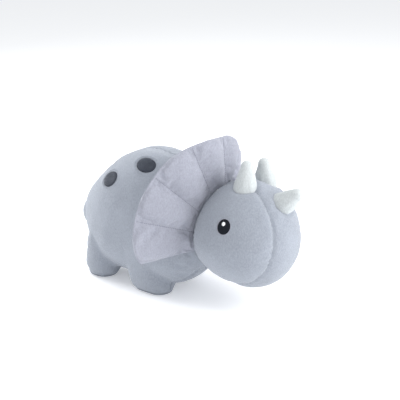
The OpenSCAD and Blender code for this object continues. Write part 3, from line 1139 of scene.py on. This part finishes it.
def head_held(points):
    seam = np.abs(beyond_face_seam(points))
    ring = np.abs(points[:, 0] - ring_x(head_angles(points)))
    held = np.maximum(1 - ramp(seam, *SEAM_HOLD), 1 - ramp(ring, *RING_HOLD))
    return np.maximum(held, 1 - ramp(points[:, 0], HEAD_BACK, HEAD_BACK + 6))


torso = torso_blank()
tail = tail_blank()
head = head_blank()
frill, frill_held = frill_blank()
tail_surface = surface_of(tail)

inflate([
    (torso, torso_held(points_of(torso)), *CLOTH_JOBS["torso"]),
    (tail, tail_held(points_of(tail)), *CLOTH_JOBS["tail"]),
    (head, head_held(points_of(head)), *CLOTH_JOBS["head"]),
    (frill, frill_held, *CLOTH_JOBS["frill"]),
])

for piece in (torso, tail, head, frill):
    subdivide(piece)

horns = {name: horn(name) for name in HORNS}
shape_torso(torso, tail_surface)
shape_tail(tail)
shape_head(head, [surface_of(obj) for obj in horns.values()])
torso_surface = surface_of(torso)
head_surface = surface_of(head)


# ---------- torso, legs, belly and tail ----------

def dress_torso():
    panels = torso_panels(torso)
    stands_for = {
        "torso_cover_right": ["torso_panel_right", "torso_stuffing"],
        "torso_cover_left": ["torso_panel_left", "neck_stuffing"],
        "belly_cover": ["belly_panel"],
    }
    for name, nodes in stands_for.items():
        dress(panels[name], GREY, replaced=nodes)
    for panel in panels.values():
        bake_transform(panel)


def dress_tail():
    panels = tail_panels(tail)
    stands_for = {
        "tail_skin_right": ["tail_cover_right", "tail_stuffing"],
        "tail_skin_left": ["tail_cover_left"],
    }
    for name, nodes in stands_for.items():
        dress(panels[name], GREY, replaced=nodes)
    for panel in panels.values():
        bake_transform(panel)


# ---------- soles ----------

# Edge of a sole from its underside up: growth over the sole's half width, height
SOLE_PROFILE = [(-6, 0.0), (-1.6, 0.25), (-0.4, 0.9), (0.2, 2.0), (-0.3, 3.1), (-1.5, 3.6), (-6, 3.7)]


def sole_pad(name, foot, side):
    """Flat padded sole, rounded over at its edge."""
    middle = (FOOT_X[foot], side * FOOT_Y)
    rings = []
    for growth, z in SOLE_PROFILE:
        rings.append(stadium(middle, SOLE_HALF_WIDTH + growth, SOLE_STRAIGHT[foot], z, 96))
    return tube_mesh(name, rings)


def make_soles():
    for foot in FOOT_X:
        for side_name, side in SIDES.items():
            pad = sole_pad(f"sole_pad_{foot}_{side_name}", foot, side)
            subdivide(pad)
            dress(pad, SOLE, "torso", [f"sole_{foot}_{side_name}"])


# ---------- spots ----------

def spot_edging(axes, half_length, half_height, count=120):
    """Corded edge of a spot, and the run of stitches round it."""
    edge = oval(half_length + SPOT_CORD, half_height + SPOT_CORD, count)
    cord = loop_tube("rim", lay(torso_surface, *axes, edge, [0.2] * count), 0.9)
    ring = oval(half_length + SPOT_STITCHES, half_height + SPOT_STITCHES, count)
    path = lay(torso_surface, *axes, ring, [0.15] * count)
    lifted = lay(torso_surface, *axes, ring, [1.15] * count)
    return [cord, stitches("run", path, lifted - path, closed=True)]


def make_spots():
    for side_name, side in SIDES.items():
        edging = []
        for spot_name, (middle, half_length, half_height) in SPOTS.items():
            name = f"spot_patch_{spot_name}_{side_name}"
            axes = spot_axes(middle, side)
            patch = oval_patch(name, torso_surface, axes, half_length, half_height, SPOT_DOME)
            dress(patch, SPOT, "torso", [f"spot_{spot_name}_{side_name}"])
            edging += spot_edging(axes, half_length, half_height)
        rim = join(f"spot_edging_{side_name}", edging)
        dress(rim, GREY, "torso", [f"spot_stitching_{side_name}"])


# ---------- head, eyes and horns ----------

def dress_head():
    panels = head_panels(head)
    stands_for = {
        "cheek_cover_right": ["cheek_panel_right", "head_stuffing"],
        "cheek_cover_left": ["cheek_panel_left"],
        "face_cover": ["face_panel"],
    }
    for name, nodes in stands_for.items():
        dress(panels[name], GREY, "head", nodes)


def eye_axes(side):
    """Middle, outward, forward and upward directions of an eye."""
    turn = math.radians(90 - EYE_FORWARD)
    rise = math.radians(EYE_TURN)
    level = math.cos(rise)
    out = np.array([level * math.cos(turn), side * level * math.sin(turn), math.sin(rise)])
    forward = unit(np.cross((0.0, 0.0, 1.0), out) * -side)
    up = np.cross(forward, out) * side
    return HEAD + HEAD_R * out, out, forward, up


def make_eye(side_name, side):
    """Embroidered disc, the pale cord round it and a glint high on it."""
    axes = eye_axes(side)
    name = f"eye_disc_{side_name}"
    disc = oval_patch(name, head_surface, axes, EYE_HALF_WIDTH, EYE_HALF_HEIGHT, EYE_DOME)
    dress(disc, EYE_THREAD, "head", [f"eye_{side_name}"])
    edge = oval(EYE_HALF_WIDTH + EYE_CORD, EYE_HALF_HEIGHT + EYE_CORD, 96)
    ring = loop_tube(f"eye_outline_{side_name}", lay(head_surface, *axes, edge, [0.3] * 96), 0.8)
    dress(ring, LILAC, "head", [f"eye_ring_{side_name}"])
    centre, out, forward, up = axes
    name = f"eye_shine_{side_name}"
    axes = (centre + GLINT_UP * up + GLINT_FORWARD * forward, out, forward, up)
    shine = oval_patch(name, surface_of(disc), axes, *GLINT_HALF, 0.9, rings=6, cols=36, under=0.3)
    dress(shine, WHITE_THREAD, "head", [f"eye_glint_{side_name}"])


def dress_horns():
    for name, obj in horns.items():
        filling = name.replace("horn", "horn_filling")
        dress(obj, WHITE, "head", [name, filling])


# ---------- frill ----------

def frill_seam(index, face):
    """Stitches along one seam of the frill, on its front face, 1, or its back, -1."""
    s_line = np.linspace(0.04, 0.97, 50)
    _, middle, normals = frill_grid(1, s_line)
    path, lifted = [], []
    for place, normal in zip(middle[index], normals[index]):
        start = Vector(place + 30 * face * normal)
        hit, _, _, _ = frill_surface.ray_cast(start, Vector(-face * normal))
        place = np.array(hit) if hit else place
        path.append(place + 0.2 * face * normal)
        lifted.append(face * normal)
    return stitches("seam", path, np.array(lifted))


def make_frill_stitches():
    seams = []
    for index in range(1, 2 * FRILL_SEGMENTS):
        for face in (-1, 1):
            seams.append(frill_seam(index, face))
    quilting = join("frill_stitches", seams)
    # The quilting thread also carries painted shade of the frill's seam grooves
    dress(quilting, SEAM_THREAD_AND_SHADE, "head", ["frill_quilting"])


# ---------- making the pieces ----------

dress_torso()
dress_tail()
make_soles()
make_spots()
dress_head()
for side_name, side in SIDES.items():
    make_eye(side_name, side)
dress_horns()
dress(frill, LILAC, "head", ["frill_front", "frill_back", "frill_wadding"])
frill_surface = surface_of(frill)
make_frill_stitches()


# ---------- floor, light and camera ----------

def floor():
    far = FLOOR_HALF / MM
    corners = [(-far, -far, 0), (far, -far, 0), (far, far, 0), (-far, far, 0)]
    plane = make_mesh("floor", corners, [(0, 1, 2, 3)])
    material, _, _, shader = node_material("pale_floor")
    set_inputs(shader, {
        "Base Color": (0.93, 0.935, 0.945, 1), "Roughness": 1.0, "Specular IOR Level": 0.0,
        "Emission Color": (0.97, 0.98, 1.0, 1), "Emission Strength": FLOOR_GLOW})
    plane.data.materials.append(material)


def area_light(name, place, power, size):
    light = bpy.data.lights.new(name, "AREA")
    light.energy = power
    light.size = size
    obj = add_object(name, light)
    obj.location = place
    aim = Vector(LIGHTS_AIM) - obj.location
    obj.rotation_euler = aim.to_track_quat("-Z", "Y").to_euler()


def camera():
    data = bpy.data.cameras.new("camera")
    data.sensor_width = 36
    data.angle = math.radians(CAMERA_FOV)
    data.clip_end = 100
    obj = add_object("camera", data)
    azimuth, elevation = math.radians(CAMERA_AZIMUTH), math.radians(CAMERA_ELEVATION)
    back = Vector((math.sin(azimuth) * math.cos(elevation), -math.cos(azimuth) * math.cos(elevation),
                   math.sin(elevation)))
    obj.location = (Vector(LOOK_AT) + CAMERA_DISTANCE * back) * MM
    obj.rotation_euler = (-back).to_track_quat("-Z", "Y").to_euler()
    bpy.context.scene.camera = obj


def world():
    scene_world = bpy.data.worlds.new("world")
    scene_world.use_nodes = True
    background = scene_world.node_tree.nodes["Background"]
    set_inputs(background, {"Color": (0.97, 0.985, 1.0, 1), "Strength": SKY_STRENGTH})
    bpy.context.scene.world = scene_world


floor()
world()
for light_name, (place, power, size) in LIGHTS.items():
    area_light(light_name, place, power, size)
camera()
bpy.context.scene.view_settings.view_transform = "Standard"
